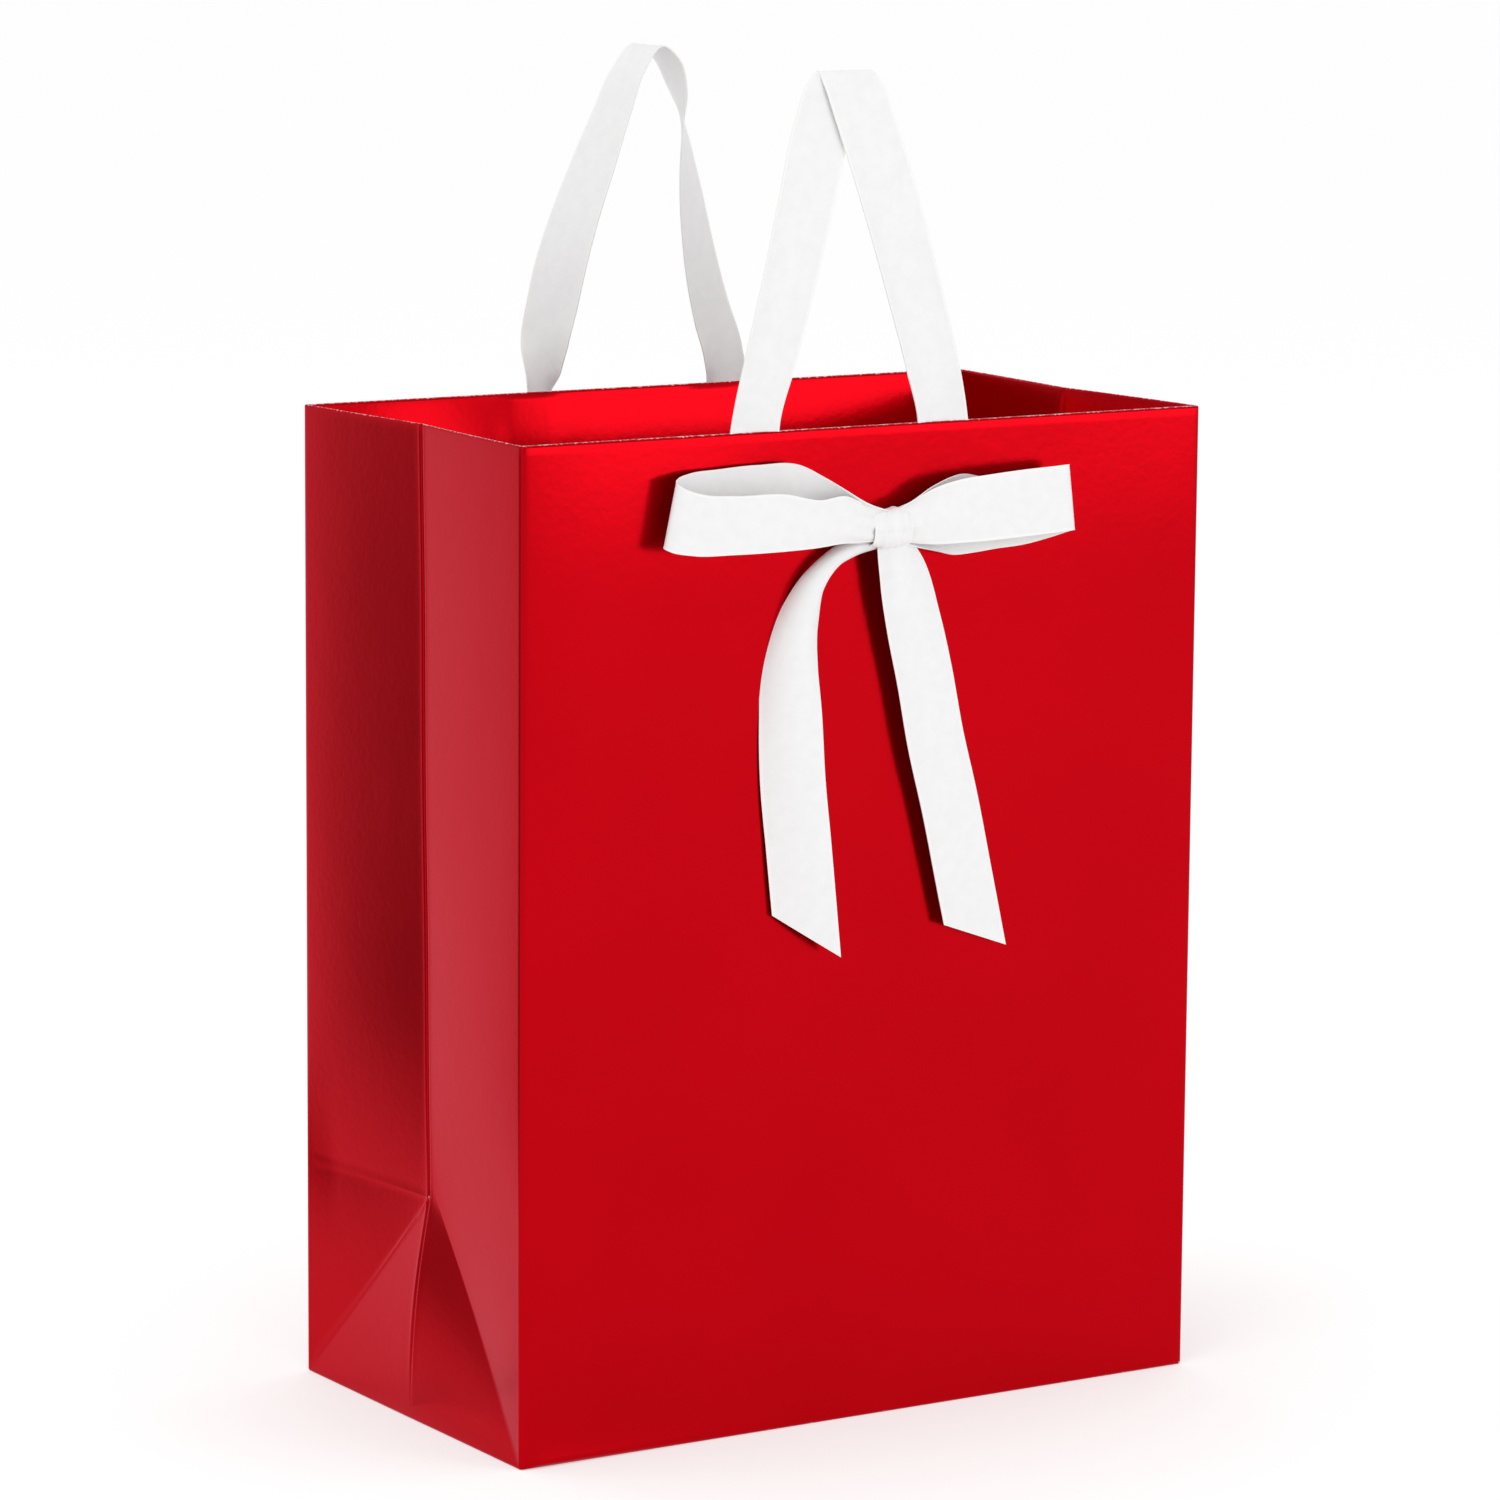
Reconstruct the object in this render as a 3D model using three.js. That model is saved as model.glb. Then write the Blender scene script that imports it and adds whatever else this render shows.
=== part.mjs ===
// Gift bag with ribbon handles and a tied bow. Millimetres, +Z up.
// The origin is the centre of the underside. X runs across the bag's width and the
// panel that carries the bow faces -Y.
import * as THREE from "three";

// Bag
const WIDTH = 262;
const DEPTH = 145;
const HEIGHT = 330;
const BASE_FOLD = 74; // height of the point where each gusset's bottom creases meet
const RIM_DENT = 4.6; // how far a gusset's centre crease leans in at the rim
const FOLD_DENT = 7; // the same at BASE_FOLD
const HEM_HEIGHT = 40; // paper turned in round the mouth
const BOTTOM_LAP = 24; // overlap of the two long bottom flaps
const END_FLAP_LENGTH = 84;
const SEAM_WIDTH = 15;

// Sheet thicknesses, and the clearance left between neighbours
const PAPER = 0.6;
const CARD = 0.8;
const BOARD = 1;
const RIBBON = 0.5;
const GAP = 0.3;

// Card and board
const RIM_CARD_HEIGHT = 36;
const BOARD_WIDTH = 243;
const BOARD_DEPTH = 136;

// Ribbon handles. Each is one loop whose two ends go down through the rim.
const RIBBON_WIDTH = 22;
const HANDLE_HEIGHT = 115; // above the rim
const HANDLE_LEFT = -44.8; // centre of the left leg where it leaves the rim
const HANDLE_RIGHT = 28.4;
const HANDLE_APEX = -11.2;
const BACK_APEX = 2.5;
const HANDLE_TAB = 28; // length glued inside the rim
const HINGE_HEIGHT = 3.5; // height of the bend line above the rim
const HINGE_GAP = 1.05; // ribbon left free on each side of the bend line
const FOLD_RADIUS = 1.4; // at the top of the front handle

// Bow
const KNOT = new THREE.Vector3(1.6, 0, 297.3); // y is set from the front panel
const KNOT_WIDTH = 14.5;
const KNOT_DEPTH = 9;
const KNOT_HEIGHT = 12.6;
const GLUE_RADIUS = 5;
const GLUE_DEPTH = 2;

// Places that follow from those sizes
const FRONT = -DEPTH / 2; // outer face of the front panel
const WALL_STEP = PAPER + GAP;
const TAB_OFFSET = WALL_STEP + RIBBON / 2; // outer face to the middle of a handle's ribbon
const CARD_OFFSET = WALL_STEP + RIBBON + GAP;
const HEM_OFFSET = CARD_OFFSET + CARD + GAP;
const KNOT_BACK = FRONT - 2 * GAP - GLUE_DEPTH;
KNOT.y = KNOT_BACK - KNOT_DEPTH / 2;

// ---- Geometry helpers ----

// Six times the signed volume that an indexed surface closes.
function signedVolume(points, faces) {
  const cross = new THREE.Vector3();
  return faces.reduce((sum, [a, b, c]) => sum + points[a].dot(cross.crossVectors(points[b], points[c])), 0);
}

// A closed surface from points and triangles, turned so that its faces point out.
function closedGeometry(points, faces) {
  const outward = signedVolume(points, faces) > 0;
  const index = faces.flatMap(([a, b, c]) => (outward ? [a, b, c] : [a, c, b]));
  const geometry = new THREE.BufferGeometry().setFromPoints(points);
  geometry.setIndex(index);
  geometry.computeVertexNormals();
  return geometry;
}

// The solid between two grids of points that have the same rows and columns.
function between(under, over) {
  const rows = under.length;
  const columns = under[0].length;
  const points = [...under.flat(), ...over.flat()];
  const layer = rows * columns;
  const at = (row, column, side) => side * layer + row * columns + column;
  const faces = [];
  const quad = (a, b, c, d) => faces.push([a, b, c], [a, c, d]);
  for (let r = 0; r + 1 < rows; r++) {
    for (let c = 0; c + 1 < columns; c++) {
      quad(at(r, c, 0), at(r, c + 1, 0), at(r + 1, c + 1, 0), at(r + 1, c, 0));
      faces.push([at(r, c, 1), at(r + 1, c + 1, 1), at(r, c + 1, 1)]);
      faces.push([at(r, c, 1), at(r + 1, c, 1), at(r + 1, c + 1, 1)]);
    }
    quad(at(r + 1, 0, 0), at(r + 1, 0, 1), at(r, 0, 1), at(r, 0, 0));
    const last = columns - 1;
    quad(at(r, last, 0), at(r, last, 1), at(r + 1, last, 1), at(r + 1, last, 0));
  }
  for (let c = 0; c + 1 < columns; c++) {
    quad(at(0, c, 0), at(0, c, 1), at(0, c + 1, 1), at(0, c + 1, 0));
    quad(at(rows - 1, c + 1, 0), at(rows - 1, c + 1, 1), at(rows - 1, c, 1), at(rows - 1, c, 0));
  }
  return closedGeometry(points, faces);
}

// A box from its lowest and highest corners.
function boxBetween(low, high) {
  const size = high.map((value, i) => value - low[i]);
  const middle = high.map((value, i) => (value + low[i]) / 2);
  return new THREE.BoxGeometry(...size).translate(...middle);
}

// A strip of ribbon through stations of a centre, an edge vector that reaches from the
// centre to one edge, and the way its face points.
function ribbonAlong(stations) {
  const offset = (s, side) => s.facing.clone().setLength((side * RIBBON) / 2).add(s.centre);
  const row = (s, side) => [offset(s, side).sub(s.edge), offset(s, side).add(s.edge)];
  return between(stations.map((s) => row(s, -1)), stations.map((s) => row(s, 1)));
}

// Stations along a centre line, whose facing is square to both the line and the edge.
function stationsOn(centres, edgeAt) {
  return centres.map((centre, i) => {
    const before = centres[Math.max(i - 1, 0)];
    const after = centres[Math.min(i + 1, centres.length - 1)];
    const edge = edgeAt(i / (centres.length - 1), centre);
    const facing = new THREE.Vector3().crossVectors(edge, after.clone().sub(before)).normalize();
    return { centre, edge, facing };
  });
}

const vector = (x, y, z) => new THREE.Vector3(x, y, z);

// ---- The folded paper ----

// How far a gusset leans in at a point: most along its centre crease, and falling away
// below BASE_FOLD to the bottom edge.
function dent(y, z) {
  const across = 1 - Math.abs(y) / (DEPTH / 2);
  if (z < BASE_FOLD) return FOLD_DENT * Math.min(across, z / BASE_FOLD);
  const up = (z - BASE_FOLD) / (HEIGHT - BASE_FOLD);
  return across * THREE.MathUtils.lerp(FOLD_DENT, RIM_DENT, up);
}

// Paper that follows a gusset, at a depth under the gusset's outer face.
function gussetPaper(side, ys, zs, under) {
  const point = (y, z, depth) => vector(side * (WIDTH / 2 - dent(y, z) - depth), y, z);
  const grid = (depth) => zs.map((z) => ys.map((y) => point(y, z, depth)));
  return between(grid(under), grid(under + PAPER));
}

function gussetHalf(side, end) {
  const edge = end * (DEPTH / 2 - WALL_STEP);
  const crease = (end * GAP) / 2;
  return gussetPaper(side, [edge, crease], [0, BASE_FOLD, HEIGHT], 0);
}

function gussetHem(side) {
  const reach = DEPTH / 2 - HEM_OFFSET - PAPER - GAP;
  return gussetPaper(side, [-reach, 0, reach], [HEIGHT - HEM_HEIGHT, HEIGHT], WALL_STEP);
}

function sideSeam() {
  const edge = DEPTH / 2 - WALL_STEP - GAP;
  const bottom = BASE_FOLD / 3;
  const top = HEIGHT - HEM_HEIGHT - GAP;
  return gussetPaper(1, [edge, edge - SEAM_WIDTH], [bottom, BASE_FOLD, top], WALL_STEP);
}

// A flat sheet parallel to the front (end -1) or back (end 1) panel.
function wallSheet(end, halfWidth, low, high, depth, thickness) {
  const outer = end * (DEPTH / 2 - depth);
  const inner = outer - end * thickness;
  return boxBetween([-halfWidth, Math.min(outer, inner), low], [halfWidth, Math.max(outer, inner), high]);
}

// Half the width of the hem and the rim card, which end just inside the gusset hems.
const LINING_HALF_WIDTH = WIDTH / 2 - 2 * WALL_STEP + PAPER;

const panel = (end) => wallSheet(end, WIDTH / 2, 0, HEIGHT, 0, PAPER);

function wallHem(end) {
  return wallSheet(end, LINING_HALF_WIDTH, HEIGHT - HEM_HEIGHT, HEIGHT, HEM_OFFSET, PAPER);
}

function rimCard(end) {
  return wallSheet(end, LINING_HALF_WIDTH, HEIGHT - RIM_CARD_HEIGHT, HEIGHT, CARD_OFFSET, CARD);
}

// ---- The block bottom ----

const FLAP_HALF_WIDTH = WIDTH / 2 - WALL_STEP;
const FLAP_EDGE = DEPTH / 2 - WALL_STEP;

// Both long flaps narrow at 45 degrees from the bag's corners, where the paper is
// folded in on itself, and their edges overlap along the middle.
const flapHalfWidth = (inward) => FLAP_HALF_WIDTH - inward;

function frontBottomFlap() {
  const inward = FLAP_EDGE + BOTTOM_LAP / 2;
  const grid = (z) => [0, inward].map((run) => [
    vector(-flapHalfWidth(run), run - FLAP_EDGE, z),
    vector(flapHalfWidth(run), run - FLAP_EDGE, z),
  ]);
  return between(grid(0), grid(PAPER));
}

// The back flap steps up over the front flap's edge.
function backBottomFlap() {
  const lap = BOTTOM_LAP / 2;
  const rise = WALL_STEP;
  const steps = [[FLAP_EDGE, 0], [lap + rise + GAP, 0], [lap + GAP, rise], [-lap, rise]];
  const grid = (thickness) => steps.map(([y, z]) => [
    vector(-flapHalfWidth(FLAP_EDGE - y), y, z + thickness),
    vector(flapHalfWidth(FLAP_EDGE - y), y, z + thickness),
  ]);
  return between(grid(0), grid(PAPER));
}

// The end flaps are folded in first, so they lie on top of the long ones.
function endBottomFlap(side) {
  const low = 2 * WALL_STEP;
  const edge = side * FLAP_HALF_WIDTH;
  const free = side * (FLAP_HALF_WIDTH - END_FLAP_LENGTH);
  return boxBetween(
    [Math.min(edge, free), -FLAP_EDGE, low],
    [Math.max(edge, free), FLAP_EDGE, low + PAPER],
  );
}

const BOARD_LIFT = 3 * WALL_STEP;

function baseBoard() {
  return boxBetween(
    [-BOARD_WIDTH / 2, -BOARD_DEPTH / 2, BOARD_LIFT],
    [BOARD_WIDTH / 2, BOARD_DEPTH / 2, BOARD_LIFT + BOARD],
  );
}

// ---- Ribbon handles ----

const LOOP_BOTTOM = HEIGHT + HINGE_HEIGHT + HINGE_GAP;
const LOOP_TOP = HEIGHT + HANDLE_HEIGHT;

// The end of a handle, between the panel and the rim card, and just above the rim.
function handleTab(end, x) {
  const middle = end * (DEPTH / 2 - TAB_OFFSET);
  const half = RIBBON_WIDTH / 2;
  return boxBetween(
    [x - half, middle - RIBBON / 2, HEIGHT - HANDLE_TAB],
    [x + half, middle + RIBBON / 2, HEIGHT + HINGE_HEIGHT - HINGE_GAP],
  );
}

// Two straight legs and a soft fold along a level line where they cross, with the right
// leg in front. Every cut of the ribbon at one height runs along X, so its edge vectors
// are all alike.
function frontHandle() {
  const y = FRONT + TAB_OFFSET;
  const lean = Math.atan2(HANDLE_APEX - HANDLE_LEFT, LOOP_TOP - LOOP_BOTTOM);
  const edge = vector(RIBBON_WIDTH / 2 / Math.cos(lean), 0, 0);
  const stations = [];
  const add = (x, cy, z, angle) => {
    const facing = vector(0, -Math.cos(angle), -Math.sin(angle));
    stations.push({ centre: vector(x, cy, z), edge, facing });
  };
  add(HANDLE_LEFT, y, LOOP_BOTTOM, 0);
  const turns = 6;
  for (let i = 0; i <= turns; i++) {
    const angle = (Math.PI * i) / turns;
    const forward = FOLD_RADIUS * (1 - Math.cos(angle));
    add(HANDLE_APEX, y - forward, LOOP_TOP - FOLD_RADIUS * (1 - Math.sin(angle)), angle);
  }
  add((HANDLE_APEX + HANDLE_RIGHT) / 2, y - FOLD_RADIUS, (LOOP_TOP + LOOP_BOTTOM) / 2, Math.PI);
  add(HANDLE_RIGHT, y, LOOP_BOTTOM, Math.PI);
  return ribbonAlong(stations);
}

// How high the legs of the arch stay upright and how far its crown's curve reaches down,
// as shares of its height, and half the width of the crown's curve.
const ARCH_SHOULDER = 0.45;
const ARCH_CROWN_DROP = 0.1;
const ARCH_CROWN_HALF = 9;

// A plain arch. The ribbon lies flat against the rim at both ends and turns half a turn
// on its way over, so that its edge points front to back at the top.
function backHandle() {
  const y = DEPTH / 2 - TAB_OFFSET;
  const height = LOOP_TOP - LOOP_BOTTOM;
  const shoulder = LOOP_BOTTOM + ARCH_SHOULDER * height;
  const crown = LOOP_TOP - ARCH_CROWN_DROP * height;
  const left = new THREE.CubicBezierCurve3(
    vector(HANDLE_LEFT, y, LOOP_BOTTOM),
    vector(HANDLE_LEFT, y, shoulder),
    vector(BACK_APEX - ARCH_CROWN_HALF, y, crown),
    vector(BACK_APEX, y, LOOP_TOP),
  );
  const right = new THREE.CubicBezierCurve3(
    vector(BACK_APEX, y, LOOP_TOP),
    vector(BACK_APEX + ARCH_CROWN_HALF, y, crown),
    vector(HANDLE_RIGHT, y, shoulder),
    vector(HANDLE_RIGHT, y, LOOP_BOTTOM),
  );
  const centres = [...left.getPoints(8), ...right.getPoints(8).slice(1)];
  return ribbonAlong(stationsOn(centres, (t) => {
    const turn = -Math.PI * THREE.MathUtils.smoothstep(t, 0, 1);
    return vector(Math.cos(turn), Math.sin(turn), 0).multiplyScalar(RIBBON_WIDTH / 2);
  }));
}

// ---- The bow ----

const KNOT_BEVEL = 2.5;
const KNOT_CORNER = 1.5;
const LEFT_LOOP_LENGTH = 82;
const RIGHT_LOOP_LENGTH = 74;
const LEFT_LOOP_RISE = 10; // how far a loop's back layer stands above its front layer
const RIGHT_LOOP_RISE = -5;
const LOOP_DEPTH = 9; // how far apart a loop's two layers are
const LOOP_SETBACK = 0.5; // how far the loops' middle is behind the knot's
const LOOP_GATHER = 0.2; // the share of a loop's length that narrows to the knot
const TAIL_GATHER = 0.25; // the same for a tail

function knot() {
  const bevel = KNOT_BEVEL;
  const corner = KNOT_CORNER;
  const w = KNOT_WIDTH / 2 - bevel;
  const h = KNOT_HEIGHT / 2 - bevel;
  const outline = new THREE.Shape()
    .moveTo(-w + corner, -h).lineTo(w - corner, -h).quadraticCurveTo(w, -h, w, -h + corner)
    .lineTo(w, h - corner).quadraticCurveTo(w, h, w - corner, h)
    .lineTo(-w + corner, h).quadraticCurveTo(-w, h, -w, h - corner)
    .lineTo(-w, -h + corner).quadraticCurveTo(-w, -h, -w + corner, -h);
  return new THREE.ExtrudeGeometry(outline, {
    depth: KNOT_DEPTH - 2 * bevel,
    bevelThickness: bevel,
    bevelSize: bevel,
    bevelSegments: 3,
    curveSegments: 3,
  })
    .translate(0, 0, -KNOT_DEPTH / 2 + bevel)
    .rotateX(Math.PI / 2)
    .translate(KNOT.x, KNOT.y, KNOT.z);
}

// A loop leaves the knot in two layers that join at its far end. Each layer is narrow
// at the knot, and the back layer sits off the front one by rise.
function bowLoop(side, length, rise) {
  const start = KNOT.x + side * (KNOT_WIDTH / 2 + GAP);
  const far = KNOT.x + side * length;
  const depth = LOOP_DEPTH;
  const middle = KNOT.y + LOOP_SETBACK;
  const at = (share, y, z) => vector(THREE.MathUtils.lerp(start, far, share), middle + y, KNOT.z + z);
  const path = new THREE.CatmullRomCurve3([
    at(0, 2.2, 0),
    at(0.25, depth / 2, rise),
    at(0.6, depth / 2 + 0.5, rise),
    at(0.96, depth / 4, 0.55 * rise + 4),
    at(1, -depth / 4, 0.3 * rise + 5),
    at(0.9, -depth / 2, 6),
    at(0.5, -depth / 2, 5),
    at(0.2, -depth / 2 + 1, 2),
    at(0, -2.2, 0),
  ]);
  const halfWidth = (t) => {
    const fromKnot = Math.min(t, 1 - t) / LOOP_GATHER;
    const spread = THREE.MathUtils.smoothstep(fromKnot, 0, 1);
    return THREE.MathUtils.lerp(KNOT_HEIGHT / 2 - 1, RIBBON_WIDTH / 2, spread);
  };
  return ribbonAlong(stationsOn(path.getPoints(24), (t) => vector(0, 0, halfWidth(t))));
}

// A tail hangs from under the knot. Its last cut is slanted, so its tip is a point.
function bowTail(points, lean, slant) {
  const path = new THREE.CatmullRomCurve3(points);
  const segments = 10;
  const centres = path.getPoints(segments);
  const stations = stationsOn(centres, (t) => {
    const spread = THREE.MathUtils.smoothstep(t, 0, TAIL_GATHER);
    const half = THREE.MathUtils.lerp(RIBBON_WIDTH / 4, RIBBON_WIDTH / 2, spread);
    return vector(Math.cos(lean), 0, Math.sin(lean)).multiplyScalar(half);
  });
  stations[segments].edge.z += slant;
  return ribbonAlong(stations);
}

const TAIL_TOP = KNOT.z - KNOT_HEIGHT / 2 - HINGE_GAP;
const TAIL_Y = KNOT.y + 1;

const leftTail = () => bowTail([
  vector(-8, TAIL_Y, TAIL_TOP - HINGE_GAP),
  vector(-24, TAIL_Y - 0.5, TAIL_TOP - 14),
  vector(-34, TAIL_Y, TAIL_TOP - 50),
  vector(-32, TAIL_Y + 1.5, TAIL_TOP - 92),
  vector(-27, TAIL_Y + 3, TAIL_TOP - 125),
], 0.06, -6);

const rightTail = () => bowTail([
  vector(5, TAIL_Y, TAIL_TOP - HINGE_GAP),
  vector(9, TAIL_Y - 0.5, TAIL_TOP - 16),
  vector(19, TAIL_Y, TAIL_TOP - 56),
  vector(32, TAIL_Y + 1.5, TAIL_TOP - 106),
  vector(39.5, TAIL_Y + 3, TAIL_TOP - 130),
], -0.2, -3);

function glueDot() {
  return new THREE.CylinderGeometry(GLUE_RADIUS, GLUE_RADIUS, GLUE_DEPTH, 24)
    .translate(KNOT.x, FRONT - GAP - GLUE_DEPTH / 2, KNOT.z);
}

// ---- Assembly ----

const foil = new THREE.MeshStandardMaterial({ color: 0xbe0012, roughness: 0.35, metalness: 0.7 });
const card = new THREE.MeshStandardMaterial({ color: 0xd8d2c6, roughness: 0.9 });
const satin = new THREE.MeshStandardMaterial({ color: 0xf4f3f1, roughness: 0.45 });
const glue = new THREE.MeshStandardMaterial({ color: 0xe9e4d2, roughness: 0.4 });

const bag = new THREE.Group();
bag.name = "gift_bag";

function add(name, geometry, material) {
  const mesh = new THREE.Mesh(geometry, material);
  mesh.name = name;
  bag.add(mesh);
}

for (const [end, word] of [[-1, "front"], [1, "back"]]) {
  add(`${word}_panel`, panel(end), foil);
  add(`${word}_hem`, wallHem(end), foil);
  add(`${word}_rim_card`, rimCard(end), card);
  add(`${word}_handle_left_end`, handleTab(end, HANDLE_LEFT), satin);
  add(`${word}_handle_right_end`, handleTab(end, HANDLE_RIGHT), satin);
}
for (const [side, word] of [[-1, "left"], [1, "right"]]) {
  add(`${word}_gusset_front`, gussetHalf(side, -1), foil);
  add(`${word}_gusset_back`, gussetHalf(side, 1), foil);
  add(`${word}_hem`, gussetHem(side), foil);
  add(`bottom_${word}_flap`, endBottomFlap(side), foil);
}
add("side_seam_flap", sideSeam(), foil);
add("bottom_front_flap", frontBottomFlap(), foil);
add("bottom_back_flap", backBottomFlap(), foil);
add("base_board", baseBoard(), card);
add("front_handle", frontHandle(), satin);
add("back_handle", backHandle(), satin);
add("bow_glue_dot", glueDot(), glue);
add("bow_knot", knot(), satin);
add("bow_left_loop", bowLoop(-1, LEFT_LOOP_LENGTH, LEFT_LOOP_RISE), satin);
add("bow_right_loop", bowLoop(1, RIGHT_LOOP_LENGTH, RIGHT_LOOP_RISE), satin);
add("bow_left_tail", leftTail(), satin);
add("bow_right_tail", rightTail(), satin);

export default bag;
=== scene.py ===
"""Looks for the gift bag: creased foil paper, satin ribbon handles and a tied bow.

Metres. The origin is the centre of the underside, +Z is up, and the bow faces -Y.
"""

import math

import bpy
import numpy as np
from mathutils import Matrix, Vector, noise


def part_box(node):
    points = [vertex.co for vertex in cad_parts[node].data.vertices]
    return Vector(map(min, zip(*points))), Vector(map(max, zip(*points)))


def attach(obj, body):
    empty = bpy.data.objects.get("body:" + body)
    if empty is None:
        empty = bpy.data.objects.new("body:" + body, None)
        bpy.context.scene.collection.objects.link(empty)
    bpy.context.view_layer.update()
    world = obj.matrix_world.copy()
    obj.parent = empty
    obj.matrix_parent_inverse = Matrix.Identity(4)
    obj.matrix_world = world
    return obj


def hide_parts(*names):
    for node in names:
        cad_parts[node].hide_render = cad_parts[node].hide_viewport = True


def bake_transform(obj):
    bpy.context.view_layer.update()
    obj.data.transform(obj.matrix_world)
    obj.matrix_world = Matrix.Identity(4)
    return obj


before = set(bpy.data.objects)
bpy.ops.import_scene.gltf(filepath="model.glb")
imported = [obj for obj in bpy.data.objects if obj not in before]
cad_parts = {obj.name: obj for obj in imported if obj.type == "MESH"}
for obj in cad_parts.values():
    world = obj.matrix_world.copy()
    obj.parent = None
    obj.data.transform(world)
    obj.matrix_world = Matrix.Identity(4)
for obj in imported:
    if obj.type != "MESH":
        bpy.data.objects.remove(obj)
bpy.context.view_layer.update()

MM = 0.001

# ---- Sizes, in millimetres ----

HALF_WIDTH = 131.0
HALF_DEPTH = 72.5
HEIGHT = 330.0
CORNER = 1.5  # radius of the four upright folds
RIM_ROUNDING = 0.9  # how far below the rim its rounding starts
PAPER = 0.3
HEM = 40.0
HEM_FLARE = 3.6  # how far the hem springs inward below the rim
WALL_STACK = 2.4  # paper, ribbon, card and paper at the front and back rims
SIDE_STACK = 1.0  # the two layers of paper at the side rims

BASE_FOLD = 74.0  # height where the gusset's lower creases meet
SOFT_FOLD = 80.0  # the same for the soft fold on the gusset's front half
SOFT_FOLD_BEND = 1.08  # above 1 the soft fold sags below a straight line
BLEND_TOP = BASE_FOLD + 30.0  # up to here the lower creases shape the gusset above them
FOLD_DENT = 7.2  # how far the centre crease leans in at BASE_FOLD
RIM_DENT = 4.8  # the same at the rim
CUSP = 0.4  # how much more sharply the gusset folds higher up
CUSP_RISE = 60.0  # the height over which it becomes so
LEVEL_SINK = 1.3  # depth of the hollow along the back half's level crease
LEVEL_SPREAD = 14.0  # how far the hollow reaches above and below
RIDGE_RISE = 2.0  # how far the lowest crease stands out
BACK_SINK = 0.9  # how far the slanting crease on the back half is sunk
FRONT_SINK = 1.8  # the same on the front half

EDGE_CALM = 14.0  # the panels stay flat this close to their edges
PILLOW = 1.7  # bulge of the front panel under its top left corner
PILLOW_EDGE = 26.0  # how soon the bulge rises from the rim and the side
ROLL = 1.5  # how far the front panel's foot rolls out at its left end
ROLL_HEIGHT = 5.0

RIBBON = 0.32
HALF_RIBBON = 11.0
TAB_DEPTH = 1.15  # outer face of a panel to the middle of a handle's ribbon
HANDLE_LEFT = -44.8  # where the handles' legs go down through the rim
HANDLE_RIGHT = 28.4
PLEAT_LENGTH = 11.0  # how far from the knot a pleat in the bow's ribbon fades
KNOT = (1.6, -79.6, 297.3)


# ---- Small tools ----


def smooth(low, high, value):
    """0 below low, 1 above high, and an even curve between them."""
    t = np.clip((value - low) / (high - low), 0, 1)
    return t * t * (3 - 2 * t)


def bell(value, middle, width):
    return math.exp(-(((value - middle) / width) ** 2))


def ripple(x, y, seed, size):
    """Smooth noise from about -1 to 1, whose bumps are roughly size across."""
    return noise.noise(Vector((x / size, y / size, seed * 7.31)))


def spline(knots, values, at):
    """A curve through values at knots, read at the places in at."""
    knots = np.asarray(knots, float)
    values = np.asarray(values, float)
    slopes = np.gradient(values, knots, axis=0)
    i = np.clip(np.searchsorted(knots, at, side="right") - 1, 0, len(knots) - 2)
    span = (knots[i + 1] - knots[i])[:, None]
    t = (at - knots[i])[:, None] / span
    a, b = values[i], values[i + 1]
    ta, tb = slopes[i] * span, slopes[i + 1] * span
    return (
        (2 * t**3 - 3 * t**2 + 1) * a
        + (t**3 - 2 * t**2 + t) * ta
        + (3 * t**2 - 2 * t**3) * b
        + (t**3 - t**2) * tb
    )


def unit(v):
    return v / np.maximum(np.linalg.norm(v, axis=-1, keepdims=True), 1e-9)


def grid_normals(grid, closed):
    """Normals of a grid of points: rows first, then columns, which can close round."""
    rows = np.gradient(grid, axis=0)
    if closed:
        around = np.concatenate([grid[:, -1:], grid, grid[:, :1]], axis=1)
        columns = (around[:, 2:] - around[:, :-2]) / 2
    else:
        columns = np.gradient(grid, axis=1)
    return unit(np.cross(columns, rows))


def mesh_object(name, points, faces, materials, material_of=None, sharp=35):
    mesh = bpy.data.meshes.new(name)
    mesh.from_pydata((np.asarray(points) * MM).tolist(), [], faces)
    mesh.validate()
    for material in materials:
        mesh.materials.append(material)
    if material_of is not None:
        mesh.polygons.foreach_set("material_index", np.asarray(material_of, np.int32))
    mesh.polygons.foreach_set("use_smooth", np.ones(len(mesh.polygons), bool))
    mesh.set_sharp_from_angle(angle=math.radians(sharp))
    mesh.update()
    obj = bpy.data.objects.new(name, mesh)
    bpy.context.collection.objects.link(obj)
    return obj


def mark(obj, name, values, kind="FLOAT"):
    """A named number or vector on every vertex, for the material to read."""
    attribute = obj.data.attributes.new(name, kind, "POINT")
    field = "value" if kind == "FLOAT" else "vector"
    attribute.data.foreach_set(field, np.asarray(values, np.float32).ravel())


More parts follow.
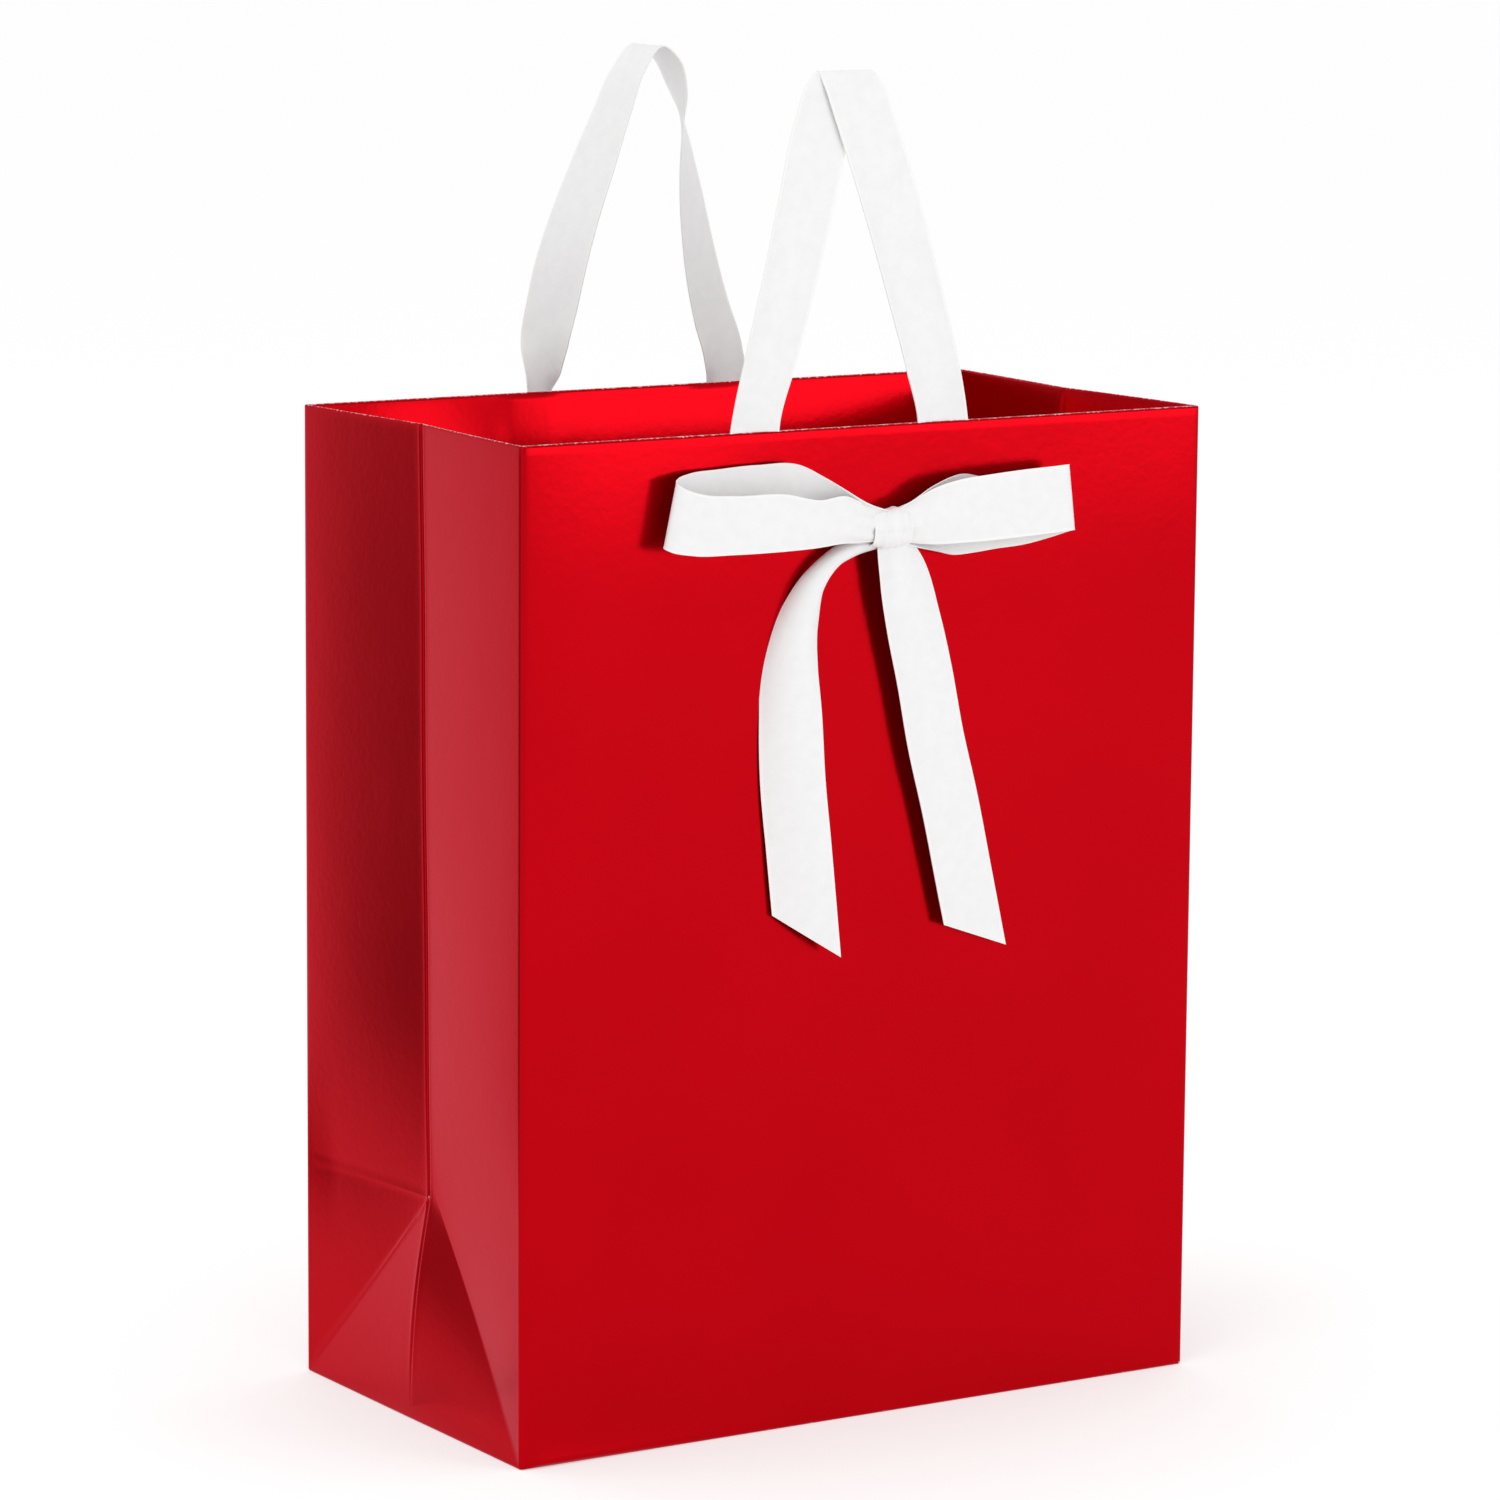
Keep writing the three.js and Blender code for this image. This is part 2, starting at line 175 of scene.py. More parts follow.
def solid(name, front, back, materials, closed=False, sharp=35, sides=(0, 1, 1)):
    """The closed solid between two grids. sides are the materials of front, back and edge."""
    rows, columns = front.shape[:2]
    layer = rows * columns
    points = np.concatenate([front.reshape(-1, 3), back.reshape(-1, 3)])
    faces, kinds = [], []
    spans = columns if closed else columns - 1
    end, last = rows - 1, columns - 1

    def at(r, c, k):
        return k * layer + r * columns + c % columns

    for r in range(rows - 1):
        for c in range(spans):
            faces.append((at(r, c, 0), at(r, c + 1, 0), at(r + 1, c + 1, 0), at(r + 1, c, 0)))
            faces.append((at(r, c, 1), at(r + 1, c, 1), at(r + 1, c + 1, 1), at(r, c + 1, 1)))
            kinds += [sides[0], sides[1]]
    for c in range(spans):
        faces.append((at(0, c, 1), at(0, c + 1, 1), at(0, c + 1, 0), at(0, c, 0)))
        faces.append((at(end, c, 0), at(end, c + 1, 0), at(end, c + 1, 1), at(end, c, 1)))
        kinds += [sides[2]] * 2
    if not closed:
        for r in range(rows - 1):
            faces.append((at(r, 0, 0), at(r + 1, 0, 0), at(r + 1, 0, 1), at(r, 0, 1)))
            faces.append((at(r, last, 1), at(r + 1, last, 1), at(r + 1, last, 0), at(r, last, 0)))
            kinds += [sides[2]] * 2
    return mesh_object(name, points, faces, materials, kinds, sharp)


def cloth_place(obj, place):
    """Tell both faces of a ribbon where they are across and along it, in millimetres."""
    mark(obj, "cloth", np.concatenate([place.reshape(-1, 3)] * 2), "FLOAT_VECTOR")


def ring_faces(rows, columns):
    """Quads of a closed tube whose points run round in rows, with a cap at each end."""
    faces = []
    for r in range(rows - 1):
        for c in range(columns):
            a, b = r * columns + c, r * columns + (c + 1) % columns
            faces.append((a, b, b + columns, a + columns))
    faces.append(tuple(range(columns))[::-1])
    faces.append(tuple((rows - 1) * columns + c for c in range(columns)))
    return faces


def place_piece(obj, slot, body, *nodes):
    """A rigid piece: its material slot (not used), the body it moves with, the nodes it replaces.
    """
    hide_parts(*nodes)
    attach(obj, body)


# ---- Materials ----


class Nodes:
    """A material's node tree, with short calls to add and join nodes."""

    def __init__(self, name):
        self.material = bpy.data.materials.new(name)
        self.material.use_nodes = True
        self.tree = self.material.node_tree
        self.shader = next(n for n in self.tree.nodes if n.type == "BSDF_PRINCIPLED")

    def add(self, kind, **settings):
        node = self.tree.nodes.new("ShaderNode" + kind)
        for key, value in settings.items():
            if hasattr(node, key):
                setattr(node, key, value)
            else:
                node.inputs[key.replace("_", " ")].default_value = value
        return node

    def join(self, out, into):
        self.tree.links.new(out, into)

    def math(self, operation, a, b=None):
        node = self.add("Math", operation=operation)
        for socket, value in zip(node.inputs, (a, b)):
            if value is None:
                continue
            if isinstance(value, (int, float)):
                socket.default_value = value
            else:
                self.join(value, socket)
        return node.outputs[0]

    def noise(self, scale, detail):
        node = self.add("TexNoise", Scale=scale, Detail=detail)
        self.join(self.add("TexCoord").outputs["Object"], node.inputs["Vector"])
        return node.outputs["Fac"]

    def attribute(self, name):
        return self.add("Attribute", attribute_type="GEOMETRY", attribute_name=name)

    def spread(self, value, low, high, out_low=0.0, out_high=1.0):
        node = self.add("MapRange", clamp=True)
        ends = {"From Min": low, "From Max": high, "To Min": out_low, "To Max": out_high}
        for key, number in ends.items():
            node.inputs[key].default_value = number
        self.join(value, node.inputs["Value"])
        return node.outputs["Result"]

    def blend_colours(self, factor, a, b):
        node = self.add("Mix", data_type="RGBA")
        self.join(factor, node.inputs["Factor"])
        for socket, value in ((node.inputs[6], a), (node.inputs[7], b)):
            if isinstance(value, tuple):
                socket.default_value = (*value, 1)
            else:
                self.join(value, socket)
        return node.outputs[2]

    def bump(self, height, distance, strength=1.0, under=None):
        node = self.add("Bump")
        node.inputs["Strength"].default_value = strength
        node.inputs["Distance"].default_value = distance
        self.join(height, node.inputs["Height"])
        if under is not None:
            self.join(under, node.inputs["Normal"])
        return node.outputs["Normal"]

    def set(self, **values):
        for key, value in values.items():
            socket = self.shader.inputs[key.replace("_", " ")]
            if isinstance(value, tuple):
                socket.default_value = (*value, 1)
            elif isinstance(value, (int, float)):
                socket.default_value = value
            else:
                self.join(value, socket)
        return self.material


def foil_material():
    m = Nodes("red foil")
    wear_and_highlight = m.attribute("wear_and_highlight").outputs["Fac"]
    grain = m.noise(900, 3)
    cloud = m.noise(14, 3)
    cracks_and_highlight = m.math("ADD", grain, m.math("MULTIPLY", wear_and_highlight, 0.5))
    nicks_and_highlight = m.spread(cracks_and_highlight, 0.93, 1.02, 0.0, 0.8)
    red = m.blend_colours(m.spread(cloud, 0.3, 0.7), (0.455, 0.0005, 0.0045), (0.48, 0.0006, 0.005))
    # Paler pink where the foil is worn through to the paper, and a painted highlight along the
    # folds and over the rim.
    colour = m.blend_colours(nicks_and_highlight, red, (0.80, 0.62, 0.62))
    metal = m.math("SUBTRACT", 1.0, nicks_and_highlight)
    rough = m.spread(cloud, 0.25, 0.75, 0.19, 0.23)
    rough = m.math("ADD", rough, m.math("MULTIPLY", wear_and_highlight, 0.12))
    peel = m.bump(m.noise(420, 2), 0.00006, 0.5)
    fibres = m.bump(m.noise(60, 4), 0.0004, 0.18, peel)
    return m.set(
        Base_Color=colour, Metallic=metal, Roughness=rough, Normal=fibres,
        Specular_Tint=(1.0, 0.66, 0.72), Coat_Weight=0.03, Coat_Roughness=0.16,
    )


def paper_material():
    m = Nodes("white paper")
    tone = m.spread(m.noise(160, 4), 0.3, 0.7)
    colour = m.blend_colours(tone, (0.80, 0.79, 0.77), (0.86, 0.85, 0.83))
    fibres = m.bump(m.noise(1400, 3), 0.00008, 0.6)
    return m.set(Base_Color=colour, Roughness=0.86, Normal=fibres)


def board_material():
    m = Nodes("grey board")
    flecks = m.spread(m.noise(700, 4), 0.35, 0.65)
    colour = m.blend_colours(flecks, (0.50, 0.46, 0.39), (0.66, 0.62, 0.54))
    press = m.bump(m.noise(1100, 3), 0.0001, 0.7)
    return m.set(Base_Color=colour, Roughness=0.9, Normal=press)


def satin_material():
    m = Nodes("white satin")
    place = m.add("SeparateXYZ")
    m.join(m.attribute("cloth").outputs["Vector"], place.inputs[0])
    across, along = place.outputs[0], place.outputs[1]
    edge = m.math("ABSOLUTE", across)
    selvage_and_sheen = m.spread(edge, HALF_RIBBON - 1.0, HALF_RIBBON - 0.75)
    weft = m.math("SINE", m.math("MULTIPLY", along, 15.0))
    warp = m.math("SINE", m.math("MULTIPLY", across, 21.0))
    weave = m.math("ADD", m.math("MULTIPLY", weft, 0.5), m.math("MULTIPLY", warp, 0.3))
    threads = m.math("ADD", weave, m.math("MULTIPLY", selvage_and_sheen, 1.6))
    slub = m.noise(240, 3)
    colour = m.blend_colours(m.spread(slub, 0.3, 0.7), (0.81, 0.81, 0.81), (0.84, 0.84, 0.84))
    # The edge bands are painted whiter: the woven selvage, and a painted sheen where the ribbon's
    # edges catch the light.
    colour = m.blend_colours(selvage_and_sheen, colour, (0.86, 0.86, 0.85))
    bump = m.bump(threads, 0.00003, 0.5, m.bump(slub, 0.0002, 0.25))
    return m.set(
        Base_Color=colour, Roughness=0.46, Normal=bump, Sheen_Weight=0.3, Sheen_Roughness=0.4,
        Specular_IOR_Level=0.45,
    )


def glue_material():
    m = Nodes("hot glue")
    tone = m.spread(m.noise(300, 2), 0.3, 0.7)
    colour = m.blend_colours(tone, (0.72, 0.68, 0.55), (0.8, 0.77, 0.66))
    dimples = m.bump(m.noise(350, 2), 0.0002, 0.4)
    return m.set(Base_Color=colour, Roughness=0.32, Normal=dimples)


def floor_material():
    m = Nodes("studio floor")
    return m.set(
        Base_Color=(0.62, 0.62, 0.62), Roughness=0.9, Specular_IOR_Level=0.1,
        Emission_Color=(1.0, 1.0, 1.0), Emission_Strength=0.45,
    )


foil = foil_material()
paper = paper_material()
board = board_material()
satin = satin_material()
glue = glue_material()


# ---- The folded paper ----


def gusset_lean(y, z):
    """How far a gusset leans in at a point. Its creases meet on the centre line at
    BASE_FOLD. The two slanting ones are sunk, and the one below them stands out."""
    across = max(1 - abs(y) / HALF_DEPTH, 0.0)
    foot = BASE_FOLD * across if y >= 0 else soft_edge(y)
    lean = upper_lean(y, z, across, foot) if z >= foot else lower_lean(y, z)
    return lean + 0.3 * ripple(y, z, 3, 60) * across


def upper_lean(y, z, across, foot):
    """The lean above the slanting creases, which leaves them at their own depth."""
    up = min(max((z - BASE_FOLD) / (HEIGHT - BASE_FOLD), 0), 1)
    top = FOLD_DENT + (RIM_DENT - FOLD_DENT) * up
    depth = top * across ** (1 + CUSP * float(smooth(BASE_FOLD, BASE_FOLD + CUSP_RISE, z)))
    if z < BLEND_TOP:
        reach = (z - foot) / (BLEND_TOP - foot)
        depth += (slant_depth(y) - depth) * (1 - reach) ** 2
    if y >= 0:
        hollow = LEVEL_SINK * math.exp(-abs(z - BASE_FOLD) / LEVEL_SPREAD)
        depth += hollow * min(across * 5, 1) * (1 - across) ** 0.5
    return depth


def lower_lean(y, z):
    """The lean of the two triangles below the slanting creases."""
    rise = min(z / BASE_FOLD, 1)
    ridge = FOLD_DENT * rise - RIDGE_RISE * math.sin(math.pi * rise)
    reach = HALF_DEPTH * (1 - slant_share(y, z))
    valley = slant_depth(math.copysign(reach, y))
    return ridge + (valley - ridge) * min(abs(y) / max(reach, 0.5), 1)


def soft_edge(y):
    """Height of the soft fold on the gusset's front half."""
    across = max(1 - abs(y) / HALF_DEPTH, 0.0)
    return SOFT_FOLD * across**SOFT_FOLD_BEND


def slant_share(y, z):
    """How far across the slanting crease is at height z: 0 at the corner, 1 in the middle."""
    if y >= 0:
        return min(z / BASE_FOLD, 1)
    return min(z / SOFT_FOLD, 1) ** (1 / SOFT_FOLD_BEND)


def slant_depth(y):
    """Depth along the slanting crease that leaves the middle at BASE_FOLD."""
    across = max(1 - abs(y) / HALF_DEPTH, 0.0)
    sink = BACK_SINK if y >= 0 else FRONT_SINK
    return FOLD_DENT * across + sink * math.sin(math.pi * across)


def crease_rise(y, z):
    """The little pinched ridge that a hard fold leaves. Positive is outward."""
    centre = -0.35 * bell(y, 0, 0.45) + 0.16 * (bell(y, 1.1, 0.6) + bell(y, -1.1, 0.6))
    centre *= float(smooth(4, 30, z))
    if y < 0:
        return centre
    across = 1 - abs(y) / HALF_DEPTH
    level = 0.2 * bell(z, BASE_FOLD, 0.6) * float(smooth(0.02, 0.1, across))
    slope = z - BASE_FOLD * across
    diagonal = 0.28 * bell(slope, 0, 0.8) * float(smooth(0.02, 0.1, across))
    return centre + level + diagonal


def panel_relief(x, z, end):
    """How far the front (end -1) or back panel stands out from a flat plane."""
    inward = HALF_WIDTH - abs(x)
    calm = float(smooth(0, EDGE_CALM, inward)) * float(smooth(0, EDGE_CALM, z))
    wave = 0.4 * ripple(x, z, 11 * end, 120) + 0.12 * ripple(x, z, 13 * end, 38)
    rise = (1 - math.exp(-inward / PILLOW_EDGE)) * (1 - math.exp(-(HEIGHT - z) / PILLOW_EDGE))
    if end > 0:
        return wave * calm + 0.3 * PILLOW * rise
    reach = float(smooth(0, -HALF_WIDTH, x)) * float(smooth(170, 300, z))
    along = 0.15 + bell(x, -HALF_WIDTH, 62) + 0.35 * bell(x, HALF_WIDTH, 20)
    foot = ROLL * along * math.exp(-z / ROLL_HEIGHT) * float(smooth(0, 1.8, z))
    return wave * calm + PILLOW * reach * rise + foot * float(smooth(0, 3, inward))


def emboss(x, z):
    """The hem stands proud over the ribbon ends that are glued behind it."""
    bands = 0.0
    for middle in (HANDLE_LEFT, HANDLE_RIGHT):
        bands += float(smooth(0, 1.6, HALF_RIBBON + 0.8 - abs(x - middle)))
    return 0.22 * bands * float(smooth(0, 2, z - (HEIGHT - 29)))


def column_places():
    """Where the paper's columns stand round the bag: (wall, share of its half length)."""
    wall = np.linspace(-1, 1, 89)
    wall = np.sign(wall) * (1 - (1 - np.abs(wall)) ** 1.15)
    near = np.array([0, 0.5, 1.1, 1.8, 3.0])
    middle = np.linspace(5, HALF_DEPTH - 4, 20)
    half = np.concatenate([near, middle, HALF_DEPTH - np.array([2.6, 1.4, 0.7])]) / HALF_DEPTH
    side = np.concatenate([-half[:0:-1], half])
    turn = np.linspace(0, 1, 7)[1:-1]
    places = []
    for wall_name, corner_name, shares in (
        ("front", "front_right", wall), ("right", "back_right", side),
        ("back", "back_left", wall), ("left", "front_left", side),
    ):
        places += [(wall_name, s) for s in shares]
        places += [(corner_name, t) for t in turn]
    return places


# Each corner's side of the bag in X and Y, and the angle where its turn begins
CORNERS = {
    "front_right": (1, -1, -90), "back_right": (1, 1, 0),
    "back_left": (-1, 1, 90), "front_left": (-1, -1, 180),
}


def outline(place, wall_in, side_in, z):
    """A point of the bag's outline, moved in by wall_in and side_in."""
    name, share = place
    radius = max(CORNER - max(wall_in, side_in), 0.12)
    hx, hy = HALF_WIDTH - side_in, HALF_DEPTH - wall_in
    if name in CORNERS:
        sx, sy, start = CORNERS[name]
        angle = math.radians(start + 90 * share)
        return (
            sx * (hx - radius) + radius * math.cos(angle),
            sy * (hy - radius) + radius * math.sin(angle),
            z,
        )
    if name in ("front", "back"):
        end = -1 if name == "front" else 1
        x = -end * share * (hx - radius)
        out = panel_relief(-end * share * HALF_WIDTH, z, end)
        if wall_in > PAPER and HEIGHT - HEM - 1 < z < HEIGHT - 0.5:
            out = out - emboss(x, z)
        return (x, end * (hy + out), z)
    side = 1 if name == "right" else -1
    y = side * share * (hy - radius)
    lean = gusset_lean(y, z) - crease_rise(y, z)
    return (side * (hx - lean), y, z)


def row_heights(place):
    """Heights of the rows under the rim at one column. They bunch up at the creases."""
    name, share = place
    side = {"right": 1, "left": -1}.get(name, 0)
    y = side * share * HALF_DEPTH
    across = 1 - abs(y) / HALF_DEPTH
    if side == 0:
        first, second = 1.6, BASE_FOLD
    elif y >= 0:
        first, second = max(BASE_FOLD * across, 1.6), BASE_FOLD + 0.2
    else:
        first = max(soft_edge(y), 1.6)
        rise = float(smooth(0, 5, -y))
        second = BASE_FOLD + 0.2 + rise * (SOFT_FOLD + 2 - BASE_FOLD)
        second = max(second, first + 1)
    low, top = 0.9, HEIGHT - RIM_ROUNDING
    lower = np.concatenate([np.linspace(0, 0.9, 12), [0.95, 0.98, 1.0]])
    middle = np.concatenate([[0.02, 0.05], np.linspace(0.1, 0.9, 11), [0.95, 0.98, 1.0]])
    upper = np.concatenate([[0.004, 0.012], np.linspace(0.03, 0.97, 44), [0.99, 1.0]])
    return np.concatenate([
        low + (first - low) * lower,
        first + (second - first) * middle,
        second + (top - second) * upper,
    ])


def paper_grid():
    """The foil face: in under the bottom edge, up the outside, over the rim and down
    the hem."""
    under = [(3.2, 0.02), (1.2, 0.02), (0.45, 0.12), (0.12, 0.42)]
    over = 8
    hem = np.linspace(0, 1, 22)[1:]
    columns, wear_and_highlight = [], []
    for place in column_places():
        column = [outline(place, inward, inward, z) for inward, z in under]
        heights = row_heights(place)
        column += [outline(place, 0, 0, z) for z in heights]
        edge = [crease_wear_and_highlight(place, z) for z in heights]
        for k in range(1, over + 1):
            angle = math.pi * k / over
            share = (1 - math.cos(angle)) / 2
            z = HEIGHT - RIM_ROUNDING * (1 - math.sin(angle) ** 0.7)
            column.append(outline(place, WALL_STACK * share, SIDE_STACK * share, z))
        top = HEIGHT - RIM_ROUNDING
        low = HEIGHT - HEM + 0.25 * ripple(place[1] * 90, len(place[0]), 21, 20)
        for t in hem:
            flare = HEM_FLARE * math.sin(min(1.3 * t, 1) * math.pi / 2)
            z = top + (low - top) * t
            column.append(outline(place, WALL_STACK + flare, SIDE_STACK + 0.5 * flare, z))
        fold = [0.35 + 0.65 * math.sin(math.pi * k / over) ** 2 for k in range(1, over + 1)]
        columns.append(column)
        # Foil wear and a painted highlight at the bottom edge, along the creases and over the rim
        # fold; none on the hem.
        wear_and_highlight.append([0.0, 0.2, 0.6, 0.6] + edge + fold + [0.0] * len(hem))
    return np.array(columns).transpose(1, 0, 2), np.array(wear_and_highlight).T


def crease_wear_and_highlight(place, z):
    """How likely the foil is to be cracked to the paper, and how strongly a paler line is painted
    there as a highlight: along folds and at the rim.
    """
    name, share = place
    rim = bell(z, HEIGHT, 0.9) * 0.5
    if name in CORNERS:
        return max(rim, 0.22, 0.8 * bell(z, 0, 2.5))
    if name in ("left", "right"):
        side = 1 if name == "right" else -1
        y = side * share * HALF_DEPTH
        centre = 0.22 * bell(y, 0, 0.6)
        apex = 0.9 * bell(math.hypot(y, z - BASE_FOLD), 0, 2.2)
        back = 0.2 * bell(z, BASE_FOLD, 0.7) if y > 0 else 0.0
        return max(rim, centre, apex, back)
    return rim


def build_paper():
    outside, wear_and_highlight = paper_grid()
    normals = grid_normals(outside, True)
    inside = outside - normals * PAPER
    body = solid("paper_body", outside, inside, [foil, paper], closed=True, sharp=75)
    mark(body, "wear_and_highlight", np.concatenate([wear_and_highlight.ravel(), np.zeros(wear_and_highlight.size)]))
    place_piece(
        body, "foil_paper", "bag", "front_panel", "back_panel",
        "front_hem", "back_hem", "left_hem", "right_hem",
        "left_gusset_front", "left_gusset_back", "right_gusset_front", "right_gusset_back",
    )


def plate(name, corners, seed, node, step_at=None):
    """A thin sheet that lies flat between two edges: corners gives the half width at
    the near and far edge, and their y. step_at is a y where it steps up, and by how much."""
    (near_half, near_y), (far_half, far_y) = corners
    rows, columns = 30, 61
    v = np.linspace(0, 1, rows)[:, None] * np.ones(columns)
    u = np.linspace(-1, 1, columns)[None, :] * np.ones((rows, 1))
    x = (near_half + (far_half - near_half) * v) * u
    y = near_y + (far_y - near_y) * v
    z = np.zeros_like(x)
    for r in range(rows):
        for c in range(columns):
            z[r, c] += 0.08 * (1 + ripple(x[r, c], y[r, c], seed, 45)) / 2
            if step_at is not None:
                z[r, c] += step_at[1] * float(smooth(-1.5, 1.5, (step_at[0] - y[r, c])))
    grid = np.stack([x, y, z], axis=-1)
    if far_y < near_y:
        grid = grid[:, ::-1]
    top = grid + np.array([0, 0, PAPER])
    piece = solid(name, grid[:, ::-1], top[:, ::-1], [foil, paper])
    mark(piece, "wear_and_highlight", np.full(2 * rows * columns, 0.05))
    place_piece(piece, "foil_paper", "bag", node)
    return piece


def build_bottom():
    """The block bottom: two long flaps that lap, and the two end flaps above them."""
    edge, width = HALF_DEPTH - 3, HALF_WIDTH - 3
    lap = 12.0
    tip = width - edge - lap
    plate("bottom_front", ((width, -edge), (tip, lap)), 31, "bottom_front_flap")
    step = (lap + 2, 0.5)
    plate("bottom_back", ((width, edge), (tip, -lap)), 32, "bottom_back_flap", step)
    for side, word in ((-1, "left"), (1, "right")):
        corners = ((edge + 2, 0.0), (edge + 2, 84.0))
        end = plate(f"bottom_{word}", corners, 33 + side, f"bottom_{word}_flap")
        turn = Matrix.Rotation(math.radians(90 if side > 0 else -90), 4, "Z")
        place = Matrix.Translation((side * (HALF_WIDTH - 1.2) * MM, 0, 1.15 * MM))
        end.data.transform(place @ turn)


def build_seam():
    """The glued flap that closes the paper, inside the right gusset's back edge."""
    ys = np.linspace(HALF_DEPTH - 1.0, HALF_DEPTH - 16.5, 9)
    zs = np.linspace(25, HEIGHT - HEM - 1, 120)
    rows = []
    for z in zs:
        row = [(HALF_WIDTH - gusset_lean(y, z) - 0.42, y, z) for y in ys]
        x, y, _ = row[-1]
        row[-1] = (x, y - 0.25 * ripple(z, 0, 41, 14), z)
        rows.append(row)
    outer = np.array(rows)[:, ::-1]
    piece = solid("side_seam", outer, outer - np.array([PAPER, 0, 0]), [paper, paper])
    place_piece(piece, "foil_paper", "bag", "side_seam_flap")


def build_cards():
    """The stiffening cards inside the front and back rims."""
    half = HALF_WIDTH - 2.2
    for end, word in ((-1, "front"), (1, "back")):
        xs = np.linspace(-half, half, 60)
        zs = np.linspace(HEIGHT - 36, HEIGHT - 1.1, 10)
        outer = np.array([
            [(x, end * (HALF_DEPTH - 1.42 + panel_relief(x, z, end)), z) for x in xs]
            for z in zs
        ])
        inner = outer - np.array([0, end * 0.5, 0])
        pair = (outer, inner) if end < 0 else (outer[:, ::-1], inner[:, ::-1])
        card = solid(f"{word}_card", *pair, [board, board])
        place_piece(card, "board", "bag", f"{word}_rim_card")


def build_base_board():
    """A loose board in the bottom, with slightly furred edges and rounded corners."""
    low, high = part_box("base_board")
    hx, hy = high.x / MM, high.y / MM
    z0, z1 = low.z / MM, high.z / MM
    rounding = 2.5
    ring = []
    for sx, sy, start in CORNERS.values():
        for k in range(7):
            angle = math.radians(start + 15 * k)
            x = sx * (hx - rounding) + rounding * math.cos(angle)
            y = sy * (hy - rounding) + rounding * math.sin(angle)
            ring.append((x, y))
    dense = []
    for k, (ax, ay) in enumerate(ring):
        bx, by = ring[(k + 1) % len(ring)]
        steps = max(int(math.hypot(bx - ax, by - ay) / 2.5), 1)
        dense += [(ax + (bx - ax) * i / steps, ay + (by - ay) * i / steps) for i in range(steps)]
    lower = [(0.0, 0.0), (0.97, 0.0), (0.9985, 0.04), (1.0, 0.25)]
    layers = lower + [(scale, 1 - up) for scale, up in lower[::-1]]
    grid = []
    for scale, up in layers:
        row = []
        for x, y in dense:
            fur = 0.1 * ripple(x, y, 51 + up, 2.0) if 0.1 < up < 0.9 else 0.0
            shrink = max(scale, 0.002)
            grow = 1 + fur / hy
            row.append((x * shrink * grow, y * shrink * grow, z0 + (z1 - z0) * up))
        grid.append(row)
    faces = ring_faces(len(layers), len(dense))
    points = np.array(grid).reshape(-1, 3)
    piece = mesh_object("bottom_board", points, faces, [board], sharp=50)
    place_piece(piece, "board", "base_board", "base_board")


# ---- Ribbons ----


def ribbon(name, stations, seed, level_cuts=False, slant=0.0, gathers=(0.0, 0.0)):
    """A ribbon through stations of (centre, direction of its width, half width, curl).
    Curl is half the angle that the width bends through. level_cuts keeps each width as
    given and doesn't square it to the ribbon. slant skews the last cut, and gathers is
    the depth of the pleats at each end, which fade along the ribbon."""
    across, step, wave = 18, 1.1, 0.16
    centres = np.array([s[0] for s in stations], float)
    widths = unit(np.array([s[1] for s in stations], float))
    rest = np.array([[s[2], s[3]] for s in stations], float)
    knots = np.concatenate([[0], np.cumsum(np.linalg.norm(np.diff(centres, axis=0), axis=1))])
    length = knots[-1]
    at = np.linspace(0, length, int(length / step) + 1)
    centre = spline(knots, centres, at)
    width = unit(spline(knots, widths, at))
    half, curl = spline(knots, rest, at).T
    curl = np.where(np.abs(curl) < 0.01, 0.01, curl)
    along = unit(np.gradient(centre, axis=0))
    if not level_cuts:
        width = unit(width - np.sum(width * along, axis=1)[:, None] * along)
    facing = unit(np.cross(width, along))
    share = np.linspace(-1, 1, across + 1)
    radius = half / curl
    skew = slant * smooth(length - 45, length, at)
    bend = share * curl[:, None]
    grid = (
        centre[:, None]
        + width[:, None] * (radius[:, None] * np.sin(bend))[..., None]
        + facing[:, None] * (radius[:, None] * (1 - np.cos(bend)))[..., None]
        + along[:, None] * (skew[:, None] * share)[..., None]
    )
    shake = np.array([[ripple(s * 11, d, seed, 24) for s in share] for d in at])
    fade = smooth(0, 20, at) * smooth(0, 12, length - at)
    pleat = gathers[0] * np.exp(-at / PLEAT_LENGTH)
    pleat += gathers[1] * np.exp(-(length - at) / PLEAT_LENGTH)
    lines = np.sin(share[None, :] * 8.5 + seed + 0.05 * at[:, None])
    offset = wave * shake * fade[:, None] + pleat[:, None] * lines
    grid = grid + grid_normals(grid, False) * offset[..., None]
    normals = grid_normals(grid, False)
    thick = RIBBON / 2 * (1 + 0.35 * (np.abs(share) > 0.93))
    front = grid + normals * thick[None, :, None]
    back = grid - normals * thick[None, :, None]
    piece = solid(name, front, back, [satin], sharp=60, sides=(0, 0, 0))
    place = np.zeros((len(at), across + 1, 3))
    place[..., 0] = share * HALF_RIBBON
    place[..., 1] = at[:, None]
    cloth_place(piece, place)
    return piece, length * MM


def hang_handle(end, piece):
    """A handle's tabs stay in the bag. Its ribbon replaces the handle and its two ends, with its
    place baked into the mesh.
    """
    name = f"{end}_handle"
    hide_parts(name, f"{name}_left_end", f"{name}_right_end")
    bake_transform(piece)


def tie_loop(side, piece, length):
    """A loop of the bow stays with the bag, held under the knot."""
    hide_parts(f"bow_{side}_loop")
    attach(piece, "bag")


def hang_tail(side, piece, length):
    """A tail's top stays in the knot. Its ribbon replaces the tail, with its place baked into the
    mesh.
    """
    name = f"bow_{side}_tail"
    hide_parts(name)
    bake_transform(piece)


